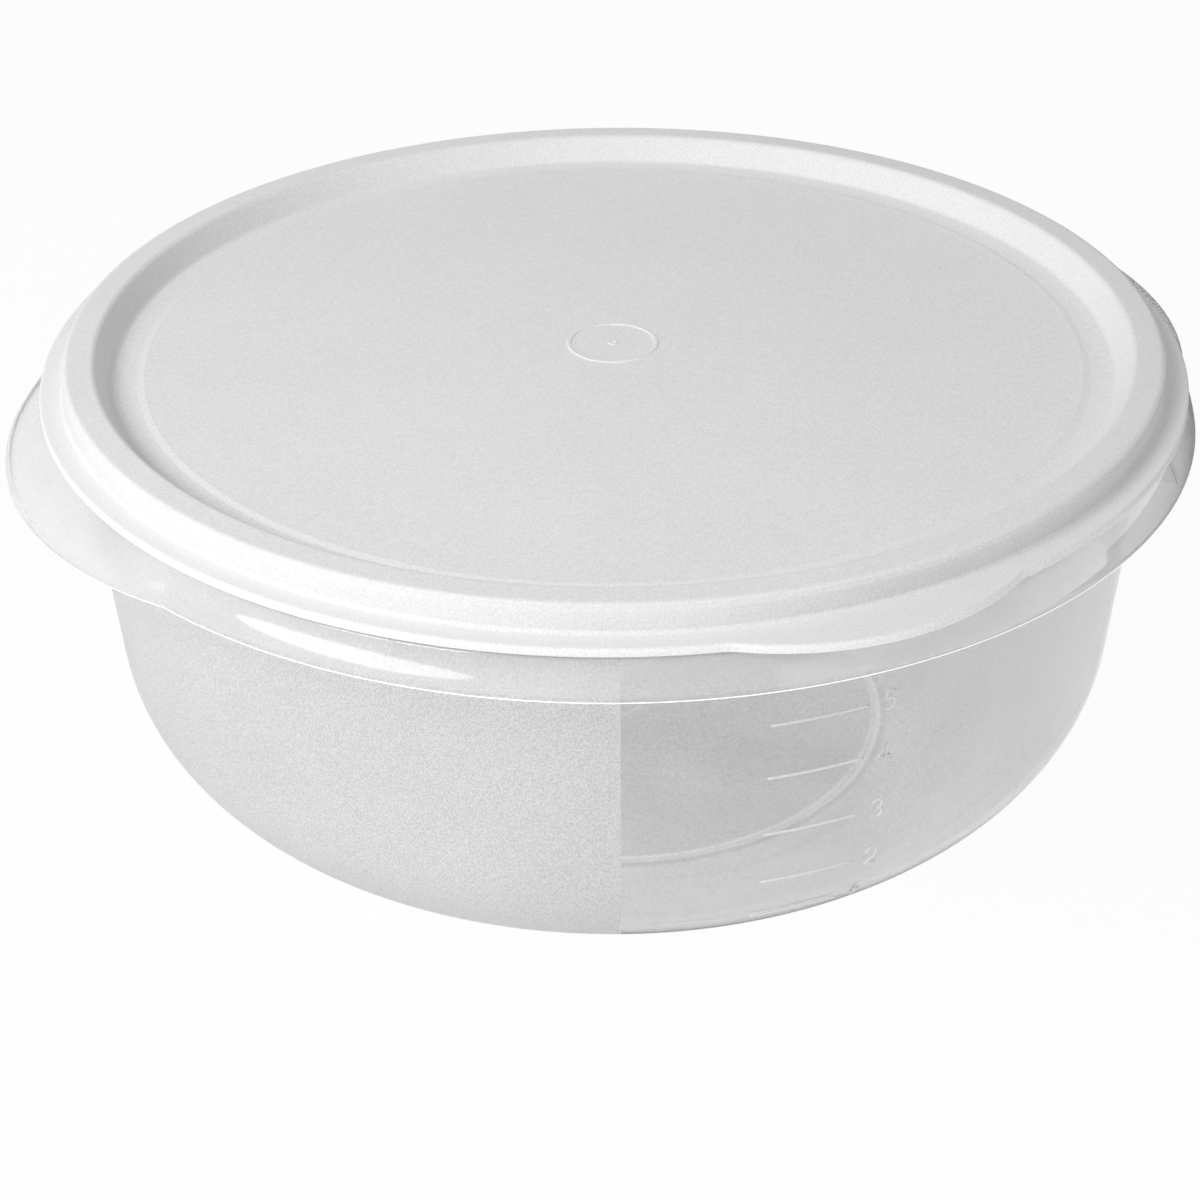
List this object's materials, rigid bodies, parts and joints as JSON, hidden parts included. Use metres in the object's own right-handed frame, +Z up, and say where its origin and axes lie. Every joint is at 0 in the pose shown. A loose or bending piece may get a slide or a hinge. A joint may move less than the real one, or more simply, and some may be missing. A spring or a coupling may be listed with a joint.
{
  "type": "dough proofing container",
  "caption": "Round translucent bowl with two flared grips, a clear measuring strip and a white press-on lid with a pull tab, for proofing and storing dough.",
  "frame": {"origin": "centre of the plane that the foot ring stands on, on the bowl's axis", "axes": "+Z up along the bowl's axis, +X through the middle of one grip, -Y through the middle of the pull tab and the measuring strip"},
  "size_m": [0.338, 0.3246, 0.1297],
  "materials": {
    "bowl": "frosted translucent polypropylene with a clear polished strip",
    "lid": "satin opaque white polyethylene"
  },
  "bodies": {
    "bowl": {"bowl": "bowl"},
    "lid": {"lid": "lid"}
  },
  "joints": [
    {"name": "lid_lift", "type": "slide", "parent": "bowl", "child": "lid", "axis": [0, 0, 1], "range_m": [0, 0.09]}
  ]
}
